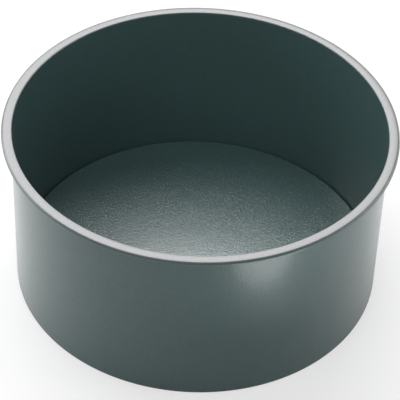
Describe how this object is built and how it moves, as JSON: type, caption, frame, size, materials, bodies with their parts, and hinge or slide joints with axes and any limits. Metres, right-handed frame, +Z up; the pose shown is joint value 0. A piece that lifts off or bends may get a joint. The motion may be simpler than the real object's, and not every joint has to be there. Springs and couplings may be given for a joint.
{
  "type": "round cake tin",
  "caption": "Deep round cake tin of coated sheet steel, with a flattened rolled rim and a loose lift-out base on an in-turned ledge.",
  "frame": {"origin": "centre of the tin's underside, on the plane that it stands on", "axes": "+Z up along the tin's axis, out of its mouth; the tin is round, so +X and +Y lie anywhere across it, and the picture looks along +Y"},
  "size_m": [0.1904, 0.1904, 0.09],
  "materials": {
    "body_coating": "satin dark grey non-stick coating with a fine metallic grain, on sheet steel",
    "base_coating": "satin dark grey non-stick coating with a fine metallic grain, on sheet steel"
  },
  "bodies": {
    "tin": {"tin_body": "body_coating"},
    "base": {"loose_base": "base_coating"}
  },
  "joints": [
    {"name": "base_lift", "type": "slide", "parent": "tin", "child": "base", "axis": [0, 0, 1], "range_m": [0, 0.1]}
  ]
}
